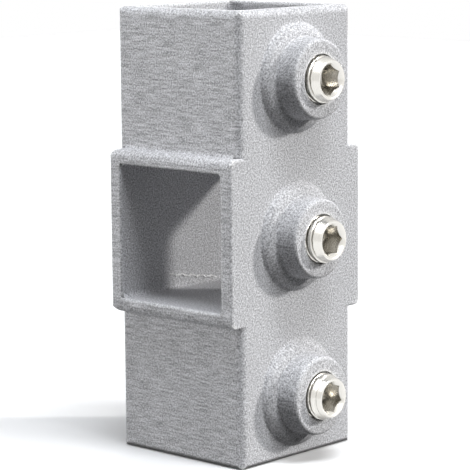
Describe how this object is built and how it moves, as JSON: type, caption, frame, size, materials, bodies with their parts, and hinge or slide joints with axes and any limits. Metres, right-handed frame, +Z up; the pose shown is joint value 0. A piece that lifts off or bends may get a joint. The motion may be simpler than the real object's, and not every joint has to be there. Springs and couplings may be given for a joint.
{
  "type": "square tube connector",
  "caption": "Cast square tube connector: a socket at each end of an upright sleeve, a square cross passage through a collared block, and a hexagon-socket set screw to clamp each tube.",
  "frame": {"origin": "centre of the cross passage, where the centre lines of the upright tube and the crossing tube meet", "axes": "+Z up along the upright sleeve, +X out of the side that carries the set screws, Y along the cross passage"},
  "size_m": [0.0642, 0.058, 0.135],
  "materials": {
    "galvanised_casting": "hot-dip galvanised, matt light grey with a fine cast grain",
    "bright_steel": "bright turned steel with a slightly warm tint"
  },
  "bodies": {
    "connector": {"casting": "galvanised_casting"},
    "top_screw": {"top_set_screw": "bright_steel"},
    "middle_screw": {"middle_set_screw": "bright_steel"},
    "bottom_screw": {"bottom_set_screw": "bright_steel"}
  },
  "joints": [
    {"name": "top_screw_travel", "type": "slide", "parent": "connector", "child": "top_screw", "axis": [-1, 0, 0], "range_m": [-0.006, 0.004]},
    {"name": "middle_screw_travel", "type": "slide", "parent": "connector", "child": "middle_screw", "axis": [-1, 0, 0], "range_m": [-0.006, 0.004]},
    {"name": "bottom_screw_travel", "type": "slide", "parent": "connector", "child": "bottom_screw", "axis": [-1, 0, 0], "range_m": [-0.006, 0.004]}
  ]
}
